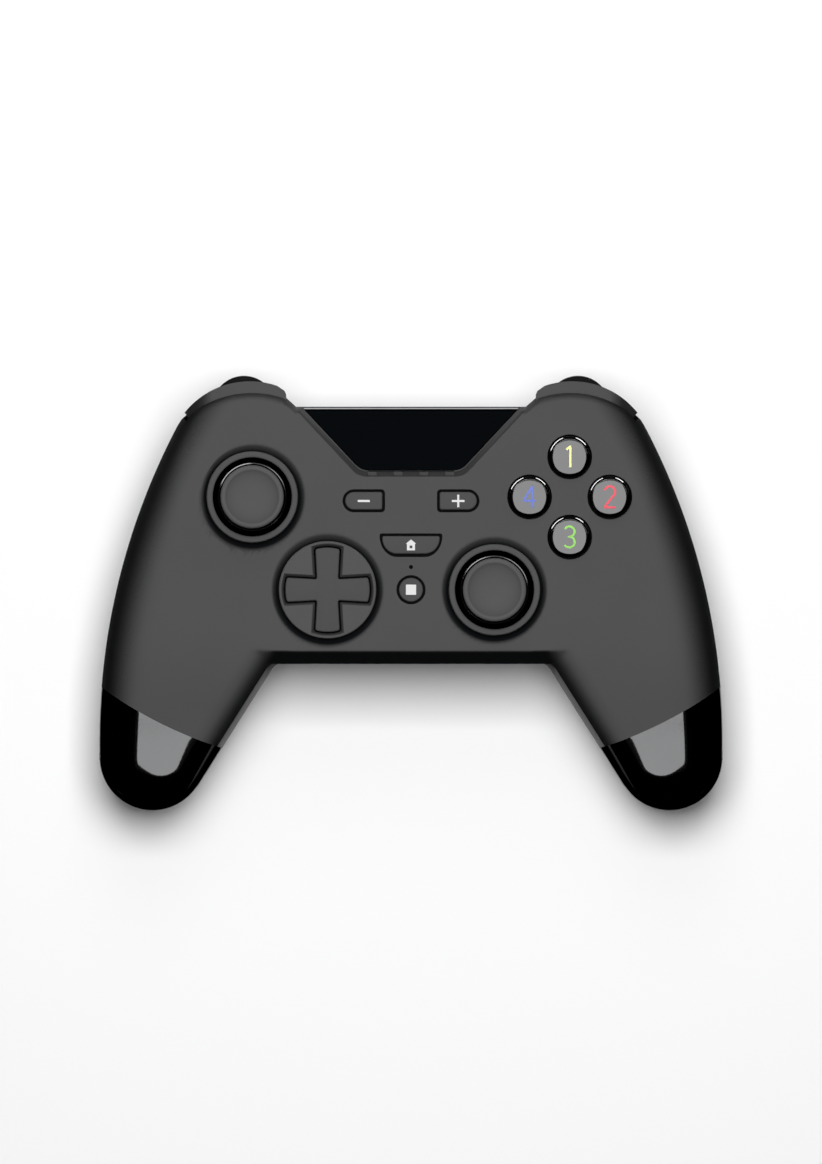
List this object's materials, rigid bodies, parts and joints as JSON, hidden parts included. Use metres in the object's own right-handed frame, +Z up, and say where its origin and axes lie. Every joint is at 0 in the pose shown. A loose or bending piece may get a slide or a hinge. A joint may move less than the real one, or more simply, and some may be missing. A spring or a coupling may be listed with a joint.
{
  "type": "gamepad controller",
  "caption": "Two-handled wireless gamepad with offset thumb sticks, a cross pad, round face buttons, small menu keys, bumpers and triggers.",
  "frame": {"origin": "middle of the underside of the bounding box, on the table plane", "axes": "+X to the right as held, +Y away from the player towards the triggers, +Z up out of the face"},
  "size_m": [0.152, 0.1059, 0.0494],
  "materials": {
    "case_grey": "fine matte",
    "gloss_black": "high gloss",
    "light_guide": "clear smoked",
    "ring_grey": "satin",
    "steel": "plain",
    "board_green": "solder mask",
    "battery_foil": "foil",
    "lead_red": "satin",
    "lead_blue": "satin",
    "works_black": "moulded",
    "stick_rubber": "matte",
    "mat_rubber": "matte",
    "weight_brass": "turned"
  },
  "bodies": {
    "case": {"top_shell": "case_grey", "bottom_shell": "case_grey", "left_grip_cap": "gloss_black", "right_grip_cap": "gloss_black", "rear_panel": "gloss_black", "player_light_guide": "light_guide", "status_light_pipe": "light_guide", "left_stick_bezel": "ring_grey", "right_stick_bezel": "ring_grey", "dpad_bezel": "ring_grey", "case_screws": "steel", "board_screws": "steel", "main_board": "board_green", "battery_cell": "battery_foil", "battery_lead": "lead_red", "usb_socket": "steel", "left_stick_housing": "steel", "right_stick_housing": "steel", "dpad_post": "works_black", "dpad_mat": "mat_rubber", "face_mat": "mat_rubber", "menu_mat": "mat_rubber", "bumper_pins": "steel", "bumper_switches": "works_black", "trigger_axles": "steel", "left_trigger_spring": "steel", "right_trigger_spring": "steel", "trigger_brackets": "works_black", "trigger_switches": "works_black", "left_rumble_motor": "steel", "right_rumble_motor": "steel", "motor_leads": "lead_blue"},
    "left_stick_rocker": {"left_stick_rocker": "works_black"},
    "left_stick_collar": {"left_stick_collar": "steel"},
    "left_stick_bail": {"left_stick_bail": "works_black"},
    "left_stick": {"left_stick_lever": "steel", "left_stick_skirt": "gloss_black", "left_stick_cap": "stick_rubber"},
    "right_stick_rocker": {"right_stick_rocker": "works_black"},
    "right_stick_collar": {"right_stick_collar": "steel"},
    "right_stick_bail": {"right_stick_bail": "works_black"},
    "right_stick": {"right_stick_lever": "steel", "right_stick_skirt": "gloss_black", "right_stick_cap": "stick_rubber"},
    "dpad_ball": {"dpad_ball": "steel"},
    "dpad": {"dpad_cross": "ring_grey"},
    "face_button_north": {"face_button_north": "gloss_black"},
    "face_button_east": {"face_button_east": "gloss_black"},
    "face_button_south": {"face_button_south": "gloss_black"},
    "face_button_west": {"face_button_west": "gloss_black"},
    "minus_button": {"minus_button": "ring_grey"},
    "plus_button": {"plus_button": "ring_grey"},
    "home_button": {"home_button": "ring_grey"},
    "capture_button": {"capture_button": "ring_grey"},
    "left_bumper": {"left_bumper": "ring_grey"},
    "left_trigger": {"left_trigger": "gloss_black"},
    "left_weight": {"left_rumble_weight": "weight_brass"},
    "right_bumper": {"right_bumper": "ring_grey"},
    "right_trigger": {"right_trigger": "gloss_black"},
    "right_weight": {"right_rumble_weight": "weight_brass"}
  },
  "joints": [
    {"name": "left_stick_tilt_fore_aft", "type": "hinge", "parent": "case", "child": "left_stick_rocker", "pos_m": [-0.0386, 0.02345, 0.033], "axis": [1, 0, 0], "range_deg": [-17, 17], "stiffness_Nm_per_rad": 0.04},
    {"name": "left_stick_tilt_side", "type": "hinge", "parent": "left_stick_rocker", "child": "left_stick_collar", "pos_m": [-0.0386, 0.02345, 0.033], "axis": [0, 1, 0], "range_deg": [-17, 17], "stiffness_Nm_per_rad": 0.04},
    {"name": "left_stick_bail_turn", "type": "hinge", "parent": "case", "child": "left_stick_bail", "pos_m": [-0.0386, 0.02345, 0.033], "axis": [0, 1, 0], "range_deg": [-18, 18]},
    {"name": "left_stick_click", "type": "slide", "parent": "left_stick_collar", "child": "left_stick", "axis": [0, 0, -1], "range_m": [0, 0.0005], "stiffness_N_per_m": 4000, "springref_m": -0.0005},
    {"name": "right_stick_tilt_fore_aft", "type": "hinge", "parent": "case", "child": "right_stick_rocker", "pos_m": [0.0203, 0.00087, 0.033], "axis": [1, 0, 0], "range_deg": [-17, 17], "stiffness_Nm_per_rad": 0.04},
    {"name": "right_stick_tilt_side", "type": "hinge", "parent": "right_stick_rocker", "child": "right_stick_collar", "pos_m": [0.0203, 0.00087, 0.033], "axis": [0, 1, 0], "range_deg": [-17, 17], "stiffness_Nm_per_rad": 0.04},
    {"name": "right_stick_bail_turn", "type": "hinge", "parent": "case", "child": "right_stick_bail", "pos_m": [0.0203, 0.00087, 0.033], "axis": [0, 1, 0], "range_deg": [-18, 18]},
    {"name": "right_stick_click", "type": "slide", "parent": "right_stick_collar", "child": "right_stick", "axis": [0, 0, -1], "range_m": [0, 0.0005], "stiffness_N_per_m": 4000, "springref_m": -0.0005},
    {"name": "dpad_rock_fore_aft", "type": "hinge", "parent": "case", "child": "dpad_ball", "pos_m": [-0.0203, 0.00087, 0.038], "axis": [1, 0, 0], "range_deg": [-4, 4], "stiffness_Nm_per_rad": 0.17, "deforming": ["dpad_mat"]},
    {"name": "dpad_rock_side", "type": "hinge", "parent": "dpad_ball", "child": "dpad", "pos_m": [-0.0203, 0.00087, 0.038], "axis": [0, 1, 0], "range_deg": [-4, 4], "stiffness_Nm_per_rad": 0.17, "deforming": ["dpad_mat"]},
    {"name": "face_button_north_press", "type": "slide", "parent": "case", "child": "face_button_north", "axis": [0, 0, -1], "range_m": [0, 0.0012], "stiffness_N_per_m": 1500, "springref_m": -0.0003, "deforming": ["face_mat"]},
    {"name": "face_button_east_press", "type": "slide", "parent": "case", "child": "face_button_east", "axis": [0, 0, -1], "range_m": [0, 0.0012], "stiffness_N_per_m": 1500, "springref_m": -0.0003, "deforming": ["face_mat"]},
    {"name": "face_button_south_press", "type": "slide", "parent": "case", "child": "face_button_south", "axis": [0, 0, -1], "range_m": [0, 0.0012], "stiffness_N_per_m": 1500, "springref_m": -0.0003, "deforming": ["face_mat"]},
    {"name": "face_button_west_press", "type": "slide", "parent": "case", "child": "face_button_west", "axis": [0, 0, -1], "range_m": [0, 0.0012], "stiffness_N_per_m": 1500, "springref_m": -0.0003, "deforming": ["face_mat"]},
    {"name": "minus_button_press", "type": "slide", "parent": "case", "child": "minus_button", "axis": [0, 0, -1], "range_m": [0, 0.0006], "stiffness_N_per_m": 3000, "springref_m": -0.0003, "deforming": ["menu_mat"]},
    {"name": "plus_button_press", "type": "slide", "parent": "case", "child": "plus_button", "axis": [0, 0, -1], "range_m": [0, 0.0006], "stiffness_N_per_m": 3000, "springref_m": -0.0003, "deforming": ["menu_mat"]},
    {"name": "home_button_press", "type": "slide", "parent": "case", "child": "home_button", "axis": [0, 0, -1], "range_m": [0, 0.0006], "stiffness_N_per_m": 3000, "springref_m": -0.0003, "deforming": ["menu_mat"]},
    {"name": "capture_button_press", "type": "slide", "parent": "case", "child": "capture_button", "axis": [0, 0, -1], "range_m": [0, 0.0006], "stiffness_N_per_m": 3000, "springref_m": -0.0003, "deforming": ["menu_mat"]},
    {"name": "left_bumper_press", "type": "hinge", "parent": "case", "child": "left_bumper", "pos_m": [-0.032, 0.0434, 0.032], "axis": [0, 0, 1], "range_deg": [0, 3], "stiffness_Nm_per_rad": 0.3, "springref_deg": -1.72},
    {"name": "left_trigger_pull", "type": "hinge", "parent": "case", "child": "left_trigger", "pos_m": [-0.0407, 0.042, 0.024], "axis": [-1, 0, 0], "range_deg": [0, 15], "stiffness_Nm_per_rad": 0.05, "springref_deg": -17.19, "deforming": ["left_trigger_spring"]},
    {"name": "left_weight_spin", "type": "hinge", "parent": "case", "child": "left_weight", "pos_m": [-0.059, -0.034, 0.017], "axis": [0, 1, 0], "continuous": true},
    {"name": "right_bumper_press", "type": "hinge", "parent": "case", "child": "right_bumper", "pos_m": [0.032, 0.0434, 0.032], "axis": [0, 0, -1], "range_deg": [0, 3], "stiffness_Nm_per_rad": 0.3, "springref_deg": -1.72},
    {"name": "right_trigger_pull", "type": "hinge", "parent": "case", "child": "right_trigger", "pos_m": [0.0407, 0.042, 0.024], "axis": [-1, 0, 0], "range_deg": [0, 15], "stiffness_Nm_per_rad": 0.05, "springref_deg": -17.19, "deforming": ["right_trigger_spring"]},
    {"name": "right_weight_spin", "type": "hinge", "parent": "case", "child": "right_weight", "pos_m": [0.059, -0.034, 0.017], "axis": [0, 1, 0], "continuous": true}
  ],
  "couplings": [
    {"joint": "left_stick_bail_turn", "follows": "left_stick_tilt_side", "ratio": 1},
    {"joint": "right_stick_bail_turn", "follows": "right_stick_tilt_side", "ratio": 1}
  ]
}
